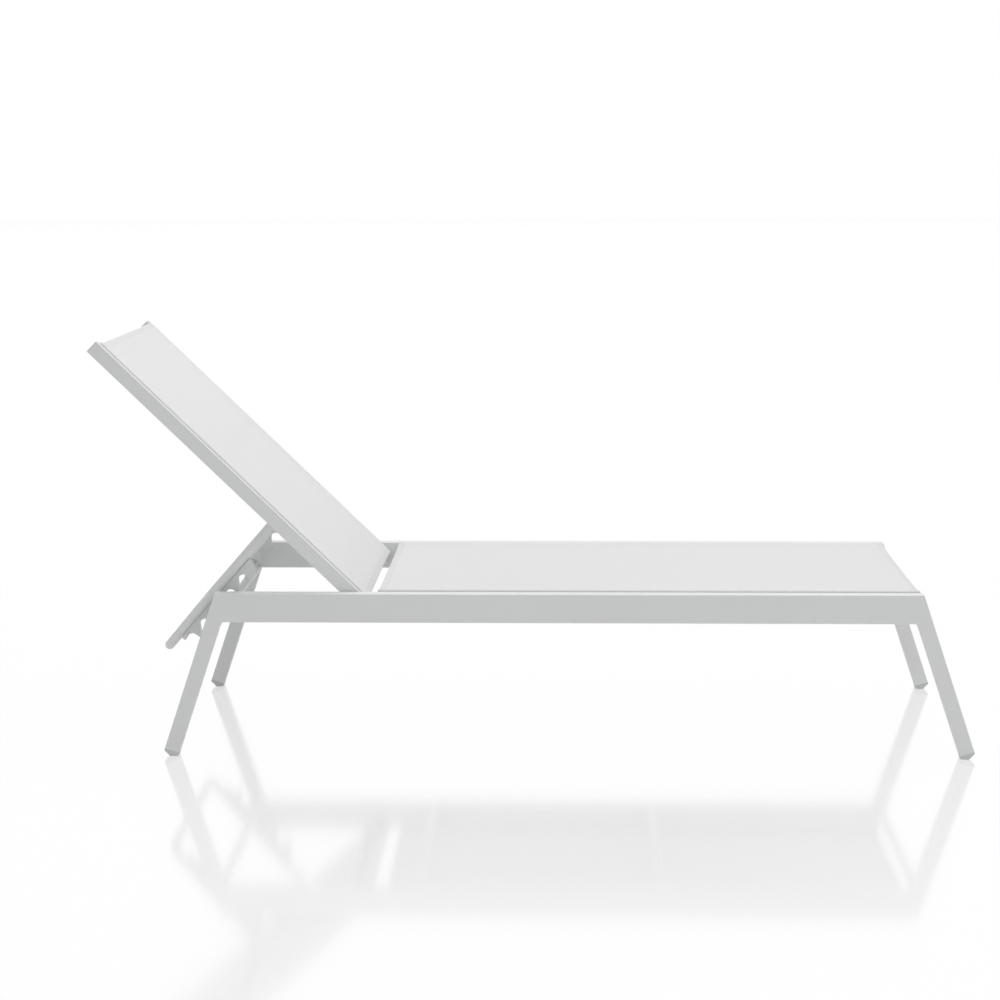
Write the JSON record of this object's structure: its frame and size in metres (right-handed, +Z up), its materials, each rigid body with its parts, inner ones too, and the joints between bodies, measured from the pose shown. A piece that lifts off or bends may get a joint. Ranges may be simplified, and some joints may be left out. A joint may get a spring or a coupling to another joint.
{
  "type": "sun lounger",
  "caption": "Low sling sun lounger: aluminium side frames on splayed legs, stretched mesh seat and a hinged back held by a notched prop.",
  "frame": {"origin": "middle of the lounger's footprint, on the floor, with the back in its third notch", "axes": "+X from the head end to the foot end, +Y to the left of a person lying face up on it, +Z up"},
  "size_m": [1.8898, 0.71, 0.8917],
  "materials": {
    "frame_aluminium": "satin powder coat, pale grey",
    "cap_plastic": "moulded, matt, in the frame's colour",
    "glide_plastic": "moulded nylon, matt",
    "rack_plastic": "moulded nylon, satin",
    "rod_plastic": "extruded, plain",
    "sling_fabric": "coated open mesh, white",
    "bolt_steel": "stainless, plain",
    "rivet_aluminium": "plain"
  },
  "bodies": {
    "frame": {"side_rail_right": "frame_aluminium", "side_rail_left": "frame_aluminium", "head_leg_right": "frame_aluminium", "head_leg_left": "frame_aluminium", "foot_leg_right": "frame_aluminium", "foot_leg_left": "frame_aluminium", "head_glide_right": "glide_plastic", "head_glide_left": "glide_plastic", "foot_glide_right": "glide_plastic", "foot_glide_left": "glide_plastic", "seat_channel_right": "frame_aluminium", "seat_channel_left": "frame_aluminium", "seat_screws_right": "bolt_steel", "seat_screws_left": "bolt_steel", "seat_rod_right": "rod_plastic", "seat_rod_left": "rod_plastic", "hinge_insert_right": "bolt_steel", "hinge_insert_left": "bolt_steel", "hinge_bolt_right": "bolt_steel", "hinge_bolt_left": "bolt_steel", "support_insert_right": "bolt_steel", "support_insert_left": "bolt_steel", "support_bolt_right": "bolt_steel", "support_bolt_left": "bolt_steel", "support_pin_right": "rack_plastic", "support_pin_left": "rack_plastic", "head_cross_tube": "frame_aluminium", "hinge_cross_tube": "frame_aluminium", "middle_cross_tube": "frame_aluminium", "foot_cross_tube": "frame_aluminium", "seat_sling": "sling_fabric"},
    "backrest": {"back_rail_right": "frame_aluminium", "back_rail_left": "frame_aluminium", "back_top_cap_right": "cap_plastic", "back_top_cap_left": "cap_plastic", "back_bottom_cap_right": "cap_plastic", "back_bottom_cap_left": "cap_plastic", "back_rod_right": "rod_plastic", "back_rod_left": "rod_plastic", "hinge_bush_right": "rack_plastic", "hinge_bush_left": "rack_plastic", "prop_insert_right": "bolt_steel", "prop_insert_left": "bolt_steel", "prop_bolt_right": "bolt_steel", "prop_bolt_left": "bolt_steel", "back_bottom_tube": "frame_aluminium", "back_middle_tube": "frame_aluminium", "back_top_tube": "frame_aluminium", "back_sling": "sling_fabric"},
    "prop": {"prop_bush_right": "rack_plastic", "prop_bush_left": "rack_plastic", "prop_plug_right": "cap_plastic", "prop_plug_left": "cap_plastic", "rack_right": "rack_plastic", "rack_left": "rack_plastic", "rack_rivets_right": "rivet_aluminium", "rack_rivets_left": "rivet_aluminium", "prop_tube": "frame_aluminium"}
  },
  "joints": [
    {"name": "back_hinge", "type": "hinge", "parent": "frame", "child": "backrest", "pos_m": [-0.38189, 0, 0.336], "axis": [0, 1, 0], "range_deg": [0, 26]},
    {"name": "prop_pivot", "type": "hinge", "parent": "backrest", "child": "prop", "pos_m": [-0.55285, 0, 0.50086], "axis": [0, 1, 0], "range_deg": [0, 85]}
  ]
}
